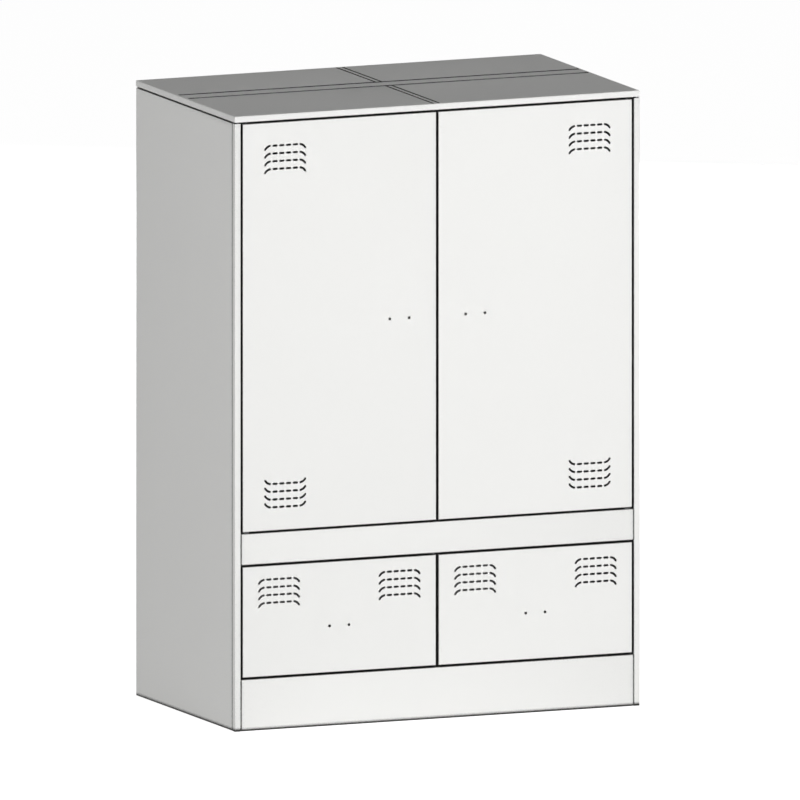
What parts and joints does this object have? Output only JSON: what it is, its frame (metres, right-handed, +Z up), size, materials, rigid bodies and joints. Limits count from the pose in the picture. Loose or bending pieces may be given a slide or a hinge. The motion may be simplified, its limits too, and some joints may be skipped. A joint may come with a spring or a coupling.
{
  "type": "highboard cabinet",
  "caption": "White sheet-steel highboard cabinet: vented hinged doors over a shelf, above vented drawers on a plain base rail.",
  "frame": {"origin": "middle of the footprint, on the floor", "axes": "+Z up, the front faces -Y, +X to the right as seen from the front"},
  "size_m": [0.67, 0.39, 0.95],
  "materials": {
    "white_enamel": "satin powder coat",
    "zinc_steel": "zinc plated",
    "blackened_steel": "black oxide, oiled",
    "nylon": "moulded",
    "rubber": "matte",
    "magnet": "sintered ferrite with steel poles"
  },
  "bodies": {
    "cabinet": {"top_panel": "white_enamel", "left_side_panel": "white_enamel", "right_side_panel": "white_enamel", "left_front_post": "white_enamel", "right_front_post": "white_enamel", "back_panel": "white_enamel", "head_rail": "white_enamel", "middle_rail": "white_enamel", "base_rail": "white_enamel", "drawer_floor": "white_enamel", "cupboard_floor": "white_enamel", "drawer_partition": "white_enamel", "left_shelf_rails": "zinc_steel", "right_shelf_rails": "zinc_steel", "shelf_clips": "zinc_steel", "shelf": "white_enamel", "hinge_bushes": "nylon", "catch_magnets": "magnet", "door_buffers": "rubber", "drawer_buffers": "rubber", "left_drawer_guides": "zinc_steel", "right_drawer_guides": "zinc_steel", "left_front_glides": "nylon", "right_front_glides": "nylon", "left_guide_brackets": "zinc_steel", "right_guide_brackets": "zinc_steel"},
    "left_door": {"left_door_pan": "white_enamel", "left_door_stiffener": "white_enamel", "left_hinge_pins": "blackened_steel"},
    "left_drawer": {"left_drawer_front": "white_enamel", "left_drawer_inner_front": "white_enamel", "left_drawer_tray": "white_enamel", "left_drawer_runners": "zinc_steel", "left_rear_glides": "nylon"},
    "right_door": {"right_door_pan": "white_enamel", "right_door_stiffener": "white_enamel", "right_hinge_pins": "blackened_steel"},
    "right_drawer": {"right_drawer_front": "white_enamel", "right_drawer_inner_front": "white_enamel", "right_drawer_tray": "white_enamel", "right_drawer_runners": "zinc_steel", "right_rear_glides": "nylon"}
  },
  "joints": [
    {"name": "left_door_hinge", "type": "hinge", "parent": "cabinet", "child": "left_door", "pos_m": [-0.3153, -0.189, 0.62225], "axis": [0, 0, -1], "range_deg": [0, 110]},
    {"name": "right_door_hinge", "type": "hinge", "parent": "cabinet", "child": "right_door", "pos_m": [0.3153, -0.189, 0.62225], "axis": [0, 0, 1], "range_deg": [0, 110]},
    {"name": "left_drawer_slide", "type": "slide", "parent": "cabinet", "child": "left_drawer", "axis": [0, -1, 0], "range_m": [0, 0.256]},
    {"name": "right_drawer_slide", "type": "slide", "parent": "cabinet", "child": "right_drawer", "axis": [0, -1, 0], "range_m": [0, 0.256]}
  ]
}
